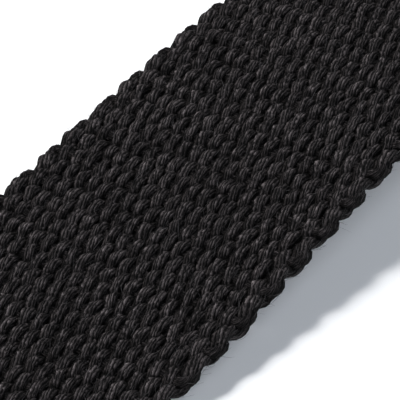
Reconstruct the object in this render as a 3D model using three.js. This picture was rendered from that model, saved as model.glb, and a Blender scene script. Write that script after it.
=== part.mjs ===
// A cut length of heavy black cotton webbing, lying on a flat surface.
// Both ends rest flat, and between them the webbing rises in a low wave that
// leans over a little. Its selvedges are scalloped, where the weft turns back.
//
// Millimetres. +X runs along the webbing, +Y across it and +Z up. The origin is
// on the surface that the webbing lies on, under the middle of the piece.

import * as THREE from 'three';

// The band as it leaves the loom
const WIDTH = 30;
const THICKNESS = 2.4;
const FACE_CROWN = 0.1; // how much the upper face swells in the middle
const SELVEDGE_ROUND = 1.5; // how far in from the edge the faces start to turn
const SCALLOP_COUNT = 52; // a scallop for every two picks of weft
const SCALLOP_DEPTH = 0.35;

// The way it lies
const SPAN = 200; // end to end, along the surface
const END_REST = 20; // flat stretch at each end
const WAVE_HEIGHT = 12;
const WAVE_LEAN = THREE.MathUtils.degToRad(10); // the +Y edge dips at the crest

// How finely the solid follows it
const STEPS_PER_SCALLOP = 4;
const SELVEDGE_ANGLES = [-90, -45, 0, 45, 90].map(THREE.MathUtils.degToRad);
const CROWN_POINTS = [-0.5, 0, 0.5]; // across the upper face, as parts of its half width
const ARC_SAMPLES = 4000;

const BLACK_COTTON = 0x1f1e20;

const waveLength = SPAN - 2 * END_REST;

// The wave's share at a place along the surface: 0 on the flat ends, 1 at the crest.
function waveShare(x) {
  if (Math.abs(x) >= waveLength / 2) return 0;
  return Math.cos((Math.PI * x) / waveLength) ** 2;
}

// Slope of the centre line there.
function waveSlope(x) {
  if (Math.abs(x) >= waveLength / 2) return 0;
  return (-WAVE_HEIGHT * Math.PI * Math.sin((2 * Math.PI * x) / waveLength)) / waveLength;
}

// Places along the surface that lie at equal distances along the cloth, so that the
// scallops keep their spacing on the slopes of the wave.
function evenPlaces(count) {
  const dx = SPAN / ARC_SAMPLES;
  const lengths = [0];
  for (let i = 0; i < ARC_SAMPLES; i++) {
    const middle = -SPAN / 2 + (i + 0.5) * dx;
    lengths.push(lengths[i] + dx * Math.hypot(1, waveSlope(middle)));
  }
  const clothLength = lengths[ARC_SAMPLES];
  const places = [];
  let i = 0;
  for (let k = 0; k <= count; k++) {
    const wanted = (clothLength * k) / count;
    while (i < ARC_SAMPLES - 1 && lengths[i + 1] < wanted) i++;
    const part = (wanted - lengths[i]) / (lengths[i + 1] - lengths[i]);
    places.push(-SPAN / 2 + (i + part) * dx);
  }
  return places;
}

// Distance of a selvedge from the centre line, round between sharp notches.
function edgeReach(scallops) {
  return WIDTH / 2 - SCALLOP_DEPTH * (1 - Math.abs(Math.sin(Math.PI * scallops)));
}

// The band's section, anticlockwise seen from the +X end, as [across, up] about its middle.
function section(leftReach, rightReach) {
  const half = THICKNESS / 2;
  const points = [];
  for (const angle of SELVEDGE_ANGLES) {
    const across = leftReach - SELVEDGE_ROUND * (1 - Math.cos(angle));
    points.push([across, half * Math.sin(angle)]);
  }
  const faceHalfWidth = WIDTH / 2 - SELVEDGE_ROUND;
  for (const part of [...CROWN_POINTS].reverse()) {
    points.push([part * faceHalfWidth, half + FACE_CROWN * (1 - part * part)]);
  }
  for (const angle of [...SELVEDGE_ANGLES].reverse()) {
    const across = -rightReach + SELVEDGE_ROUND * (1 - Math.cos(angle));
    points.push([across, half * Math.sin(angle)]);
  }
  return points;
}

// Sets a section's points into space, square to the centre line and leaning with it.
function place(x, points) {
  const share = waveShare(x);
  const pitch = Math.atan(waveSlope(x));
  const lean = WAVE_LEAN * share;
  const middle = new THREE.Vector3(x, 0, THICKNESS / 2 + WAVE_HEIGHT * share);
  const along = new THREE.Vector3(Math.cos(pitch), 0, Math.sin(pitch));
  const up = new THREE.Vector3(-Math.sin(pitch), 0, Math.cos(pitch)).applyAxisAngle(along, -lean);
  const across = new THREE.Vector3(0, 1, 0).applyAxisAngle(along, -lean);
  return points.map(([y, z]) => middle.clone().addScaledVector(across, y).addScaledVector(up, z));
}

function webbingGeometry() {
  const stepCount = SCALLOP_COUNT * STEPS_PER_SCALLOP;
  const positions = [];
  let ring = 0;
  evenPlaces(stepCount).forEach((x, step) => {
    const scallops = step / STEPS_PER_SCALLOP;
    const points = section(edgeReach(scallops), edgeReach(scallops + 0.5));
    ring = points.length;
    for (const point of place(x, points)) positions.push(point.x, point.y, point.z);
  });

  const faces = [];
  for (let step = 0; step < stepCount; step++) {
    for (let k = 0; k < ring; k++) {
      const next = (k + 1) % ring;
      const a = step * ring + k;
      const b = step * ring + next;
      faces.push(a, b, b + ring, a, b + ring, a + ring);
    }
  }
  const last = stepCount * ring;
  for (let k = 1; k < ring - 1; k++) {
    faces.push(0, k + 1, k);
    faces.push(last, last + k, last + k + 1);
  }

  const geometry = new THREE.BufferGeometry();
  geometry.setAttribute('position', new THREE.Float32BufferAttribute(positions, 3));
  geometry.setIndex(faces);
  geometry.computeVertexNormals();
  return geometry;
}

const webbing = new THREE.Mesh(
  webbingGeometry(),
  new THREE.MeshStandardMaterial({ color: BLACK_COTTON, roughness: 0.95, metalness: 0 }),
);
webbing.name = 'webbing';

const model = new THREE.Group();
model.add(webbing);

export default model;
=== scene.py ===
import math

import bpy
import numpy as np
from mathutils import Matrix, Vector


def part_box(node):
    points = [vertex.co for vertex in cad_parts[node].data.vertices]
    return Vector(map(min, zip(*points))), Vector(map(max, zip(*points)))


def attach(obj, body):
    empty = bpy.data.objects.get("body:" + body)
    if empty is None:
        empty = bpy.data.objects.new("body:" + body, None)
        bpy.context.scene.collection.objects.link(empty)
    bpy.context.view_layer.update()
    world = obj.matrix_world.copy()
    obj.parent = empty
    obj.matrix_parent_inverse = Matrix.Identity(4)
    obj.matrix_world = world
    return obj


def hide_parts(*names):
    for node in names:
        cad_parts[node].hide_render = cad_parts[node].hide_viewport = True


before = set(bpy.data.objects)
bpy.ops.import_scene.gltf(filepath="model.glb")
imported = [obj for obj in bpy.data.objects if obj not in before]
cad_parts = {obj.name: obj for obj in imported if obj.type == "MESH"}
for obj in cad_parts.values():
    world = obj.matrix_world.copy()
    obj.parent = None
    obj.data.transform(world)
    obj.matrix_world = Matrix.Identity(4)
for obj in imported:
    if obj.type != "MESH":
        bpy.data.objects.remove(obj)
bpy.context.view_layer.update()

# Camera. It looks down at the webbing from its near side, at the photograph's angle, so that the
# band runs from the lower left corner of the picture to the upper right and out at both ends.
MM = 0.001
AIM = Vector((-34.7, 4.1, 0.0)) * MM
AIM_DISTANCE = 300 * MM
LOOK_DOWN = math.radians(38.8)
HEADING = math.radians(41.0)
SENSOR_WIDTH = 36.0
LENS = 287.5

camera_data = bpy.data.cameras.new("camera")
camera_data.sensor_width = SENSOR_WIDTH
camera_data.lens = LENS
camera_data.clip_start = 10 * MM
camera = bpy.data.objects.new("camera", camera_data)
bpy.context.scene.collection.objects.link(camera)
look = Vector((
    math.cos(HEADING) * math.cos(LOOK_DOWN),
    math.sin(HEADING) * math.cos(LOOK_DOWN),
    -math.sin(LOOK_DOWN),
))
camera.location = AIM - look * AIM_DISTANCE
camera.rotation_euler = look.to_track_quat("-Z", "Y").to_euler()
bpy.context.scene.camera = camera


# Weft. One thick, soft black cotton yarn goes back and forth through the whole band. It lies
# nearly straight in each pick, hidden by the warp, and shows where it turns round the outermost
# end: those turns, one for every two picks, give each selvedge its scallops.
low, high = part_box("webbing")
SPAN = high.x - low.x
WIDTH = high.y - low.y
THICKNESS = 2.4 * MM

# The wave that the solid lies in, which the yarns follow
END_REST = 20 * MM
WAVE_HEIGHT = 12 * MM
WAVE_LEAN = math.radians(10)
WAVE_LENGTH = SPAN - 2 * END_REST
WAVE_SAMPLES = 4000

# The yarn in its picks. Its lead is the length of one full twist, and its relief is how far the
# plies stand out, and the grooves between them lie in, as a part of its radius.
PICK_COUNT = 104
PICK_STEPS = 6
WEFT_HALF_WIDTH = 0.52 * MM
WEFT_HALF_HEIGHT = 0.40 * MM
WEFT_PLIES = 7
WEFT_LEAD = 4.6 * MM
PLY_RELIEF = 0.17

# The warp ends that it turns round
END_COUNT = 39
END_SPACING = 0.735 * MM
OUTER_END = (END_COUNT - 1) / 2 * END_SPACING

# The turns. The yarn is pressed narrow and tall in them, and they are a little squarer than a half
# circle, as their power is below 1. It rises or dips only close to the outermost ends.
TURN_STEPS = 8
TURN_HALF_WIDTH = 0.36 * MM
TURN_HALF_HEIGHT = 0.62 * MM
TURN_BULGE = 0.1 * MM
TURN_REACH = WIDTH / 2 + TURN_BULGE - TURN_HALF_WIDTH * (1 + PLY_RELIEF)
TURN_POWER = 0.5
TURN_RISE = 0.25 * MM
RISE_POWER = 8


def wave_share(x):
    """The wave's share of its height: 0 on the flat ends, 1 at the crest."""
    return np.where(np.abs(x) < WAVE_LENGTH / 2, np.cos(np.pi * x / WAVE_LENGTH) ** 2, 0.0)


def wave_slope(x):
    """Slope of the wave's centre line."""
    slope = -WAVE_HEIGHT * np.pi / WAVE_LENGTH * np.sin(2 * np.pi * x / WAVE_LENGTH)
    return np.where(np.abs(x) < WAVE_LENGTH / 2, slope, 0.0)


# Distance along the cloth against distance along the surface
ground = np.linspace(-SPAN / 2, SPAN / 2, WAVE_SAMPLES + 1)
middles = (ground[1:] + ground[:-1]) / 2
cloth = np.concatenate([[0.0], np.cumsum(np.diff(ground) * np.hypot(1, wave_slope(middles)))])
CLOTH_LENGTH = cloth[-1]
PICK = CLOTH_LENGTH / PICK_COUNT


def lie(points):
    """Points in the flat cloth (along, across, up from its middle) as they lie in the wave."""
    along, across, up = points[..., 0], points[..., 1], points[..., 2]
    inside = np.clip(along, 0, CLOTH_LENGTH)
    x = np.interp(inside, cloth, ground)
    pitch = np.arctan(wave_slope(x))
    lean = WAVE_LEAN * wave_share(x)
    raised = across * np.sin(-lean) + up * np.cos(lean)
    return np.stack([
        x + (along - inside) - raised * np.sin(pitch),
        across * np.cos(lean) + up * np.sin(lean),
        THICKNESS / 2 + WAVE_HEIGHT * wave_share(x) + raised * np.cos(pitch),
    ], axis=-1)


def yarn_rings(path, half_width, half_height, plies, turn, unevenness=0.0):
    """Rings of points round a path in the flat cloth, a ridge and a valley for every ply. The
    section is an ellipse that keeps its axes upright, and its plies start at the given turn."""
    sides = 2 * plies
    step = np.gradient(path, axis=-2)
    step /= np.linalg.norm(step, axis=-1, keepdims=True)
    side = np.cross(np.array([0.0, 0.0, 1.0]), step)
    side /= np.linalg.norm(side, axis=-1, keepdims=True)
    top = np.cross(step, side)
    angle = turn[:, None] + 2 * np.pi * np.arange(sides) / sides
    relief = 1 + PLY_RELIEF * np.where(np.arange(sides) % 2 == 0, 1, -1) + unevenness
    across = (half_width[:, None] * relief * np.cos(angle))[:, :, None] * side[:, None, :]
    upward = (half_height[:, None] * relief * np.sin(angle))[:, :, None] * top[:, None, :]
    return path[:, None, :] + across + upward


# Length of yarn that one unit of its UV map stands for
UV_LENGTH = 10 * MM


def yarn_piece(name, yarns):
    """One mesh of many yarns, each given as its rings in the flat cloth and their distances along
    the yarn. Its UV map runs once round the yarn and along it in centimetres, and its crest
    attribute is 0 in the middle of the cloth's thickness and about 1 on its two faces."""
    points, crests, corners, starts, uvs = [], [], [], [], []
    first_point, first_corner = 0, 0
    for number, (rings, run) in enumerate(yarns):
        count, sides = rings.shape[:2]
        points.append(lie(rings).reshape(-1, 3))
        crests.append(np.abs(rings[..., 2]).ravel() / (THICKNESS / 2))

        # Four-cornered faces from each ring to the next, and one face over each end of the yarn
        index = first_point + np.arange(count * sides).reshape(count, sides)
        following = np.roll(index, -1, axis=1)
        quads = np.stack([index[:-1], following[:-1], following[1:], index[1:]], axis=-1)
        corners += [quads.ravel(), index[0, ::-1], index[-1]]
        quad_count = (count - 1) * sides
        starts.append(first_corner + 4 * np.arange(quad_count))
        starts.append(first_corner + 4 * quad_count + np.array([0, sides]))

        # Each yarn has a stretch of the map to itself, so no two in a piece are marked alike
        u = number + np.arange(sides + 1) / sides
        v = run / UV_LENGTH
        quad_u = np.stack([u[:-1], u[1:], u[1:], u[:-1]], axis=-1)[None].repeat(count - 1, 0)
        quad_v = np.stack([v[:-1], v[:-1], v[1:], v[1:]], axis=-1)[:, None].repeat(sides, 1)
        end_uv = np.zeros((2 * sides, 2))
        uvs += [np.stack([quad_u.ravel(), quad_v.ravel()], axis=-1), end_uv]

        first_point += count * sides
        first_corner += 4 * quad_count + 2 * sides

    points = np.concatenate(points)
    corners, starts = np.concatenate(corners), np.concatenate(starts)
    mesh = bpy.data.meshes.new(name)
    mesh.vertices.add(len(points))
    mesh.vertices.foreach_set("co", points.astype(np.float32).ravel())
    mesh.loops.add(len(corners))
    mesh.loops.foreach_set("vertex_index", corners.astype(np.int32))
    mesh.polygons.add(len(starts))
    mesh.polygons.foreach_set("loop_start", starts.astype(np.int32))
    mesh.update(calc_edges=True)
    layer = mesh.uv_layers.new(name="UVMap")
    layer.data.foreach_set("uv", np.concatenate(uvs).astype(np.float32).ravel())
    crest = mesh.attributes.new("crest", "FLOAT", "POINT")
    crest.data.foreach_set("value", np.concatenate(crests).astype(np.float32))
    mesh.shade_smooth()
    mesh.validate()
    piece = bpy.data.objects.new(name, mesh)
    bpy.context.scene.collection.objects.link(piece)
    return piece


def linear(hex_colour):
    """An sRGB hex colour as linear RGBA."""
    parts = [int(hex_colour[i:i + 2], 16) / 255 for i in (1, 3, 5)]
    return [p / 12.92 if p <= 0.04045 else ((p + 0.055) / 1.055) ** 2.4 for p in parts] + [1.0]


def node(tree, kind, settings=(), links=()):
    """Adds a node, sets its properties and sockets by name, and links its inputs."""
    new = tree.nodes.new(kind)
    for key, value in dict(settings).items():
        if isinstance(key, str) and hasattr(new, key):
            setattr(new, key, value)
        else:
            new.inputs[key].default_value = value
    for key, output in dict(links).items():
        tree.links.new(output, new.inputs[key])
    return new


# Fibre noise has 20 cells to a turn of the yarn, about 0.17 mm each, and they are 0.4 mm long. A
# cotton fibre is only 0.02 mm thick, which is too fine to show: the cells stand for small tufts.
TUFTS_ROUND = 20
TUFT_LENGTH = 0.4 * MM
FIBRE_RELIEF = 0.2 * MM
# How far the tufts push the ridge of a single aside, in turns of the yarn
FIBRE_WANDER = 0.10
# Dye noise has cells of two thirds of a millimetre, so that a float takes two or three shades
DYE_PATCH = 2 / 3 * MM
# Most of a noise's values lie between these two
NOISE_LOW = 0.3
NOISE_HIGH = 0.7
# What is left of the paleness in a groove between singles (painted shade), where the dye took
# best, and deep in the cloth (painted shade)
GROOVE_SHARE = 0.15
DYE_SHARE = 0.3
CREST_SHARE = 0.40
# The crest values between which the painted shade deep in the cloth fades towards the faces
CREST_LOW = 0.2
CREST_HIGH = 0.95
# The paleness that is left, raised to this power, takes the colour from the dark one to the light
# one between these two values
TONE_POWER = 1.5
TONE_LOW = 0.01
TONE_HIGH = 0.80
DARK_COTTON = "#010101"
LIGHT_COTTON = "#a69c9d"


def cotton(name, singles):
    """Black cotton yarn, plied from thin singles. The dye swallows nearly all light. Its colour
    has painted shade in the grooves between singles and deep in the cloth, and fine random fibre
    streaks."""
    material = bpy.data.materials.new(name)
    material.use_nodes = True
    tree = material.node_tree
    tree.nodes.clear()
    place = node(tree, "ShaderNodeTexCoord")
    # Fibres run along the singles, so their noise is drawn out along the yarn
    fibre_place = node(
        tree, "ShaderNodeMapping", {"Scale": (TUFTS_ROUND, UV_LENGTH / TUFT_LENGTH, 1.0)},
        {"Vector": place.outputs["UV"]},
    )
    fibre_noise = node(
        tree, "ShaderNodeTexNoise", {"Scale": 1.0, "Detail": 5.0, "Roughness": 0.7},
        {"Vector": fibre_place.outputs["Vector"]},
    )
    fibre = node(
        tree, "ShaderNodeMapRange", {"From Min": NOISE_LOW, "From Max": NOISE_HIGH},
        {"Value": fibre_noise.outputs["Fac"]},
    )
    # The singles are ridges round the yarn: bumps, and painted shade in the grooves between them
    uv = node(tree, "ShaderNodeSeparateXYZ", links={"Vector": place.outputs["UV"]})
    wander = node(
        tree, "ShaderNodeMath", {"operation": "MULTIPLY_ADD", 1: FIBRE_WANDER},
        {0: fibre.outputs[0], 2: uv.outputs["X"]},
    )
    turns = node(
        tree, "ShaderNodeMath", {"operation": "MULTIPLY", 1: 2 * math.pi * singles},
        {0: wander.outputs[0]},
    )
    wave = node(tree, "ShaderNodeMath", {"operation": "COSINE"}, {0: turns.outputs[0]})
    single = node(
        tree, "ShaderNodeMapRange", {"From Min": -1.0, "From Max": 1.0, "To Min": GROOVE_SHARE},
        {"Value": wave.outputs[0]},
    )
    # The ridge profile sets the bumps and, in the colour, the painted shade in the grooves
    height = node(
        tree, "ShaderNodeMath", {"operation": "MULTIPLY"},
        {0: single.outputs[0], 1: fibre.outputs[0]},
    )
    relief = node(
        tree, "ShaderNodeBump", {"Strength": 1.0, "Distance": FIBRE_RELIEF},
        {"Height": height.outputs[0]},
    )
    # The dye takes a little unevenly from place to place
    dye_noise = node(
        tree, "ShaderNodeTexNoise", {"Scale": 1 / DYE_PATCH, "Detail": 3.0, "Roughness": 0.6},
        {"Vector": place.outputs["Object"]},
    )
    dye = node(
        tree, "ShaderNodeMapRange",
        {"From Min": NOISE_LOW, "From Max": NOISE_HIGH, "To Min": DYE_SHARE},
        {"Value": dye_noise.outputs["Fac"]},
    )
    # Painted shade in the grooves between singles, times the uneven dye
    dyed_and_groove_shaded = node(
        tree, "ShaderNodeMath", {"operation": "MULTIPLY"},
        {0: height.outputs[0], 1: dye.outputs[0]},
    )
    # Painted shade: the yarn is painted darker the deeper it lies between the crests of both faces
    crest = node(tree, "ShaderNodeAttribute", {"attribute_name": "crest"})
    depth_shade = node(
        tree, "ShaderNodeMapRange",
        {"From Min": CREST_LOW, "From Max": CREST_HIGH, "To Min": CREST_SHARE},
        {"Value": crest.outputs["Fac"]},
    )
    # The colour with painted shade deep in the cloth
    depth_shaded = node(
        tree, "ShaderNodeMath", {"operation": "MULTIPLY"},
        {0: dyed_and_groove_shaded.outputs[0], 1: depth_shade.outputs[0]},
    )
    tone = node(
        tree, "ShaderNodeMath", {"operation": "POWER", 1: TONE_POWER}, {0: depth_shaded.outputs[0]}
    )
    colour = node(tree, "ShaderNodeValToRGB", links={"Fac": tone.outputs[0]})
    colour.color_ramp.elements[0].position = TONE_LOW
    colour.color_ramp.elements[0].color = linear(DARK_COTTON)
    colour.color_ramp.elements[1].position = TONE_HIGH
    colour.color_ramp.elements[1].color = linear(LIGHT_COTTON)
    shader = node(
        tree, "ShaderNodeBsdfPrincipled",
        {"Roughness": 0.8, "Specular IOR Level": 0.1},
        {"Base Color": colour.outputs["Color"], "Normal": relief.outputs["Normal"]},
    )
    node(tree, "ShaderNodeOutputMaterial", links={"Surface": shader.outputs["BSDF"]})
    return material


def end_is_over(number, pick):
    """Whether a warp end floats over a pick. Its neighbours do the opposite, and so does the
    same end at the next pick."""
    return (number + pick) % 2 == 0


def weft_rise(across, pick):
    """Height of the weft above the middle of the cloth. It stays in the middle along most of a
    pick, and passes under or over the outermost end."""
    outermost = END_COUNT - 1 if across > 0 else 0
    rise = -TURN_RISE if end_is_over(outermost, pick) else TURN_RISE
    return rise * (abs(across) / OUTER_END) ** RISE_POWER


weft_points = []
for pick in range(PICK_COUNT):
    heading = 1 if pick % 2 == 0 else -1
    middle = (pick + 0.5) * PICK
    for step in range(PICK_STEPS + 1):
        across = heading * OUTER_END * (2 * step / PICK_STEPS - 1)
        weft_points.append((middle, across, weft_rise(across, pick)))
    # The yarn is cut after its last pick
    if pick == PICK_COUNT - 1:
        break
    rise = weft_rise(heading * OUTER_END, pick)
    for step in range(1, TURN_STEPS):
        angle = math.pi * step / TURN_STEPS
        reach = OUTER_END + (TURN_REACH - OUTER_END) * math.sin(angle) ** TURN_POWER
        weft_points.append((
            middle + PICK * (1 - math.cos(angle)) / 2,
            heading * reach,
            rise * math.cos(angle),
        ))
weft_path = np.array(weft_points)
weft_run = np.concatenate([[0.0], np.cumsum(np.linalg.norm(np.diff(weft_path, axis=0), axis=1))])
turn_share = np.clip((np.abs(weft_path[:, 1]) - OUTER_END) / (TURN_REACH - OUTER_END), 0, 1)
weft_rings = yarn_rings(
    weft_path,
    WEFT_HALF_WIDTH + (TURN_HALF_WIDTH - WEFT_HALF_WIDTH) * turn_share,
    WEFT_HALF_HEIGHT + (TURN_HALF_HEIGHT - WEFT_HALF_HEIGHT) * turn_share,
    WEFT_PLIES,
    -2 * np.pi * weft_run / WEFT_LEAD,
)
weft = yarn_piece("weft", [(weft_rings, weft_run)])
weft.data.materials.append(cotton("weft_cotton_yarn", 2 * WEFT_PLIES))
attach(weft, "root")
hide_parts("webbing")


# Warp. The ends run the length of the band, each a black cotton yarn of five plies that lies over
# one pick and under the next, while its neighbours do the opposite. They are beaten so close that
# their plump floats cover both faces and hide the weft. The outermost ends are the widest.
WARP_PLIES = 5
WARP_LEAD = 9.4 * MM
WARP_GROUPS = 5
RINGS_PER_PICK = 6
CUT_RAGGED = 0.35 * MM

# A float, and the crossing between two floats. Its crimp is how far the yarn swings from the
# middle of the cloth, and its plumpness fills out the shoulders of that swing.
FLOAT_HALF_WIDTH = 0.49 * MM
FLOAT_HALF_HEIGHT = 0.56 * MM
CROSSING_HALF_WIDTH = 0.45 * MM
CROSSING_HALF_HEIGHT = 0.54 * MM
CROWN_POWER = 0.9
CRIMP = THICKNESS / 2 - FLOAT_HALF_HEIGHT * (1 + PLY_RELIEF)
PLUMPNESS = 0.03
FLOAT_LEAN = 0.07 * MM

# The outermost ends swing less, and are wider and further out. The power keeps that to them and,
# less and less, to the few ends beside them.
EDGE_DROP = 0.12
EDGE_SWELL = 0.42
EDGE_SHIFT = 0.18 * MM
EDGE_POWER = 16

# Spread of what differs from float to float: its place as a part of a pick, its height and width
# as parts of themselves, its drift sideways, and each ply's radius as a part of the yarn's
PLACE_SPREAD = 0.08
LIFT_SPREAD = 0.06
SWELL_SPREAD = 0.09
DRIFT_SPREAD = 0.08 * MM
PLY_SPREAD = 0.12
# Floats beyond those of the cloth, and how many of them come before its cut end
SPARE_FLOATS = 4
FLOATS_BEFORE = 1.0
SEED = 7
chance = np.random.default_rng(SEED)


def between(values, at):
    """Values given at whole numbers, taken smoothly at the places between."""
    whole = np.clip(np.floor(at).astype(int), 0, len(values) - 2)
    part = np.clip(at - whole, 0, 1)
    part = (part * part * (3 - 2 * part)).reshape(-1, *[1] * (values.ndim - 1))
    return values[whole] * (1 - part) + values[whole + 1] * part


def warp_end(number):
    """One end as rings in the flat cloth and their distances along the yarn, a little uneven from
    float to float and ply to ply."""
    floats = PICK_COUNT + SPARE_FLOATS
    ragged = chance.uniform(-CUT_RAGGED, CUT_RAGGED, 2)
    run = np.linspace(ragged[0], CLOTH_LENGTH + ragged[1], PICK_COUNT * RINGS_PER_PICK + 1)
    at = run / PICK + FLOATS_BEFORE
    at = at + between(chance.normal(0, PLACE_SPREAD, floats), at)
    lift = 1 + between(chance.normal(0, LIFT_SPREAD, floats), at)
    swell = 1 + between(chance.normal(0, SWELL_SPREAD, floats), at)
    drift = between(chance.normal(0, DRIFT_SPREAD, floats), at)

    # Up at the middle of one pick, down at the middle of the next
    theta = np.pi * (at - (FLOATS_BEFORE + 0.5))
    over = 1 if end_is_over(number, 0) else -1
    swing = (np.cos(theta) - PLUMPNESS * np.cos(3 * theta)) / (1 - PLUMPNESS)
    lean = FLOAT_LEAN * np.sin(theta) * over

    across = (number - (END_COUNT - 1) / 2) * END_SPACING
    edge = (abs(across) / OUTER_END) ** EDGE_POWER
    drop = 1 - EDGE_DROP * edge
    swell = swell * (1 + EDGE_SWELL * edge)
    across = across + math.copysign(EDGE_SHIFT * edge, across)

    path = np.stack([run, across + drift + lean, over * CRIMP * swing * lift * drop], axis=-1)
    crown = np.abs(np.cos(theta)) ** CROWN_POWER
    half_width = (CROSSING_HALF_WIDTH + (FLOAT_HALF_WIDTH - CROSSING_HALF_WIDTH) * crown) * swell
    half_height = CROSSING_HALF_HEIGHT + (FLOAT_HALF_HEIGHT - CROSSING_HALF_HEIGHT) * crown
    length = np.concatenate([[0.0], np.cumsum(np.linalg.norm(np.diff(path, axis=0), axis=1))])
    turn = chance.uniform(0, 2 * np.pi) - 2 * np.pi * length / WARP_LEAD
    uneven = between(chance.normal(0, PLY_SPREAD, (floats, 2 * WARP_PLIES)), at)
    rings = yarn_rings(path, half_width, half_height, WARP_PLIES, turn, uneven)
    # No ply reaches below the cloth's lower face, so that the ends of the band rest flat
    rings[..., 2] = np.maximum(rings[..., 2], -THICKNESS / 2)
    return rings, length


warp_cotton = cotton("warp_cotton_yarn", 2 * WARP_PLIES)
warp_ends = [warp_end(number) for number in range(END_COUNT)]
for group, numbers in enumerate(np.array_split(np.arange(END_COUNT), WARP_GROUPS)):
    piece = yarn_piece(f"warp_{group + 1}", [warp_ends[number] for number in numbers])
    piece.data.materials.append(warp_cotton)
    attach(piece, "root")


# Stray fibres. Spun cotton is never smooth: fine fibre ends stand off the floats all over the
# band, and off the weft where it turns. The selvedges have the most of them.
FIBRE_COUNT = 6500
FIBRE_RADIUS = 0.016 * MM
FIBRE_STEPS = 5
FIBRE_SIDES = 3
FIBRE_REACH = (0.5 * MM, 1.9 * MM)
FIBRE_LIFT = (0.02 * MM, 0.22 * MM)
# How much it strays from the way of the yarn at its foot, and bends after that
FIBRE_CAST = 0.45
FIBRE_BEND = 0.2
# It bows through this part of half a wave, and is this much thinner at its tip
FIBRE_BOW = 0.8
FIBRE_TAPER = 0.7
# No fibre stands out further than this
FIBRE_SIDE = WIDTH / 2 + 0.7 * MM
FIBRE_TOP = THICKNESS / 2 + 0.3 * MM
# The way of the yarn is taken from rings this many before and after the foot
NEARBY_RINGS = 2
# How often the weft stands in the list of yarns that the fibres are drawn from, and how many
# times more than the other ends each outermost end does
WEFT_SHARE = 4
OUTER_SHARE = 6


def stray_fibre(rings):
    """A short fibre that leaves a yarn, bows off it and comes down beside it, as rings in the flat
    cloth and their distances along the fibre."""
    at = chance.integers(NEARBY_RINGS, len(rings) - NEARBY_RINGS - 1)
    corner = chance.integers(rings.shape[1])
    foot = rings[at, corner]
    middle = rings[at].mean(axis=0)
    out = (foot - middle) / np.linalg.norm(foot - middle)
    ahead = rings[at + NEARBY_RINGS, corner] - rings[at - NEARBY_RINGS, corner]
    ahead /= np.linalg.norm(ahead)
    aside = np.cross(out, ahead)
    way = ahead + aside * chance.normal(0, FIBRE_CAST)
    share = np.linspace(0, 1, FIBRE_STEPS)[:, None]
    reach = chance.uniform(*FIBRE_REACH)
    lift = chance.uniform(*FIBRE_LIFT)
    bend = chance.normal(0, FIBRE_BEND)
    path = foot + reach * share * way + lift * np.sin(np.pi * share * FIBRE_BOW) * out
    path = path + reach * bend * share ** 2 * aside
    path[:, 1] = np.clip(path[:, 1], -FIBRE_SIDE, FIBRE_SIDE)
    path[:, 2] = np.clip(path[:, 2], FIBRE_RADIUS - THICKNESS / 2, FIBRE_TOP)
    # Anticlockwise as seen from its tip, so that the faces point outwards
    angle = np.arange(FIBRE_SIDES) * 2 * np.pi / FIBRE_SIDES
    section = np.cos(angle)[:, None] * out - np.sin(angle)[:, None] * aside
    radius = FIBRE_RADIUS * (1 - FIBRE_TAPER * share)
    return path[:, None, :] + radius[:, :, None] * section, share[:, 0] * reach


hosts = [rings for rings, length in warp_ends] + [weft_rings] * WEFT_SHARE
hosts += [warp_ends[0][0], warp_ends[-1][0]] * OUTER_SHARE
fibres = [stray_fibre(hosts[chance.integers(len(hosts))]) for _ in range(FIBRE_COUNT)]
stray_fibres = yarn_piece("stray_fibres", fibres)

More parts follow.
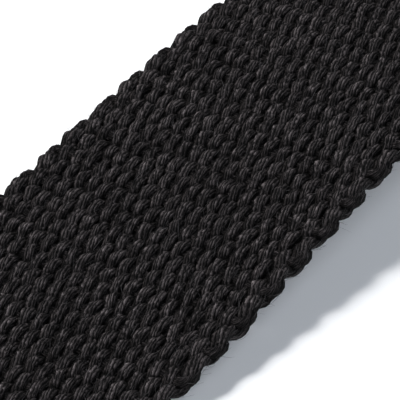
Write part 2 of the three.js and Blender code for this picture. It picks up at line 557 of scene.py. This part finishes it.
# Single fibres of the same cotton. The dye took more on some than on others: its noise has cells
# of about 1.7 mm, as long as the longer fibres, so that each is mostly of one shade.
FIBRE_SHADE_LENGTH = 5 / 3 * MM
fibre_cotton = bpy.data.materials.new("loose_cotton_fibre")
fibre_cotton.use_nodes = True
fibre_tree = fibre_cotton.node_tree
fibre_place = node(fibre_tree, "ShaderNodeTexCoord")
fibre_dye = node(
    fibre_tree, "ShaderNodeTexNoise", {"Scale": 1 / FIBRE_SHADE_LENGTH, "Detail": 1.0},
    {"Vector": fibre_place.outputs["Object"]},
)
fibre_colour = node(fibre_tree, "ShaderNodeValToRGB", links={"Fac": fibre_dye.outputs["Fac"]})
fibre_colour.color_ramp.elements[0].position = 0.35
fibre_colour.color_ramp.elements[0].color = linear("#262526")
fibre_colour.color_ramp.elements[1].position = 0.65
fibre_colour.color_ramp.elements[1].color = linear("#5c595b")
fibre_shader = fibre_tree.nodes["Principled BSDF"]
fibre_shader.inputs["Roughness"].default_value = 0.6
fibre_tree.links.new(fibre_colour.outputs["Color"], fibre_shader.inputs["Base Color"])
stray_fibres.data.materials.append(fibre_cotton)
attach(stray_fibres, "root")


# Floor and light. A plain white surface, as in a product photograph. A small softbox and a large
# one, both nearly overhead, throw a soft shadow under the raised selvedge. A cool fill from the
# near side and a faint, even light from the room soften the rest.
FLOOR_SIZE = 6.0
bpy.ops.mesh.primitive_plane_add(size=FLOOR_SIZE, location=(0, 0, 0))
floor = bpy.context.object
floor.name = "floor"
floor_material = bpy.data.materials.new("white_floor")
floor_material.use_nodes = True
floor_shader = floor_material.node_tree.nodes["Principled BSDF"]
floor_shader.inputs["Base Color"].default_value = linear("#f4f4f4")
floor_shader.inputs["Roughness"].default_value = 0.9
floor.data.materials.append(floor_material)

LIGHT_DISTANCE = 1.2


def softbox(name, way, width, depth, watts, colour):
    """A rectangular softbox in the given direction that faces the middle of the picture."""
    light = bpy.data.lights.new(name, "AREA")
    light.shape = "RECTANGLE"
    light.size = width
    light.size_y = depth
    light.energy = watts
    light.color = linear(colour)[:3]
    box = bpy.data.objects.new(name, light)
    bpy.context.scene.collection.objects.link(box)
    direction = Vector(way).normalized()
    box.location = AIM + direction * LIGHT_DISTANCE
    box.rotation_euler = direction.to_track_quat("Z", "Y").to_euler()


softbox("key", (-0.10, 0.07, 1.0), width=0.14, depth=0.14, watts=5.5, colour="#ffffff")
softbox("overhead", (-0.10, 0.23, 1.0), width=0.30, depth=0.53, watts=11.5, colour="#ffffff")
softbox("front_fill", (0.25, -0.7, 0.95), width=0.9, depth=0.6, watts=8.2, colour="#eef5ff")

world = bpy.data.worlds.new("room")
bpy.context.scene.world = world
world.use_nodes = True
room_light = world.node_tree.nodes["Background"]
room_light.inputs["Color"].default_value = linear("#c4c8cc")
room_light.inputs["Strength"].default_value = 0.1
bpy.context.scene.view_settings.view_transform = "Standard"
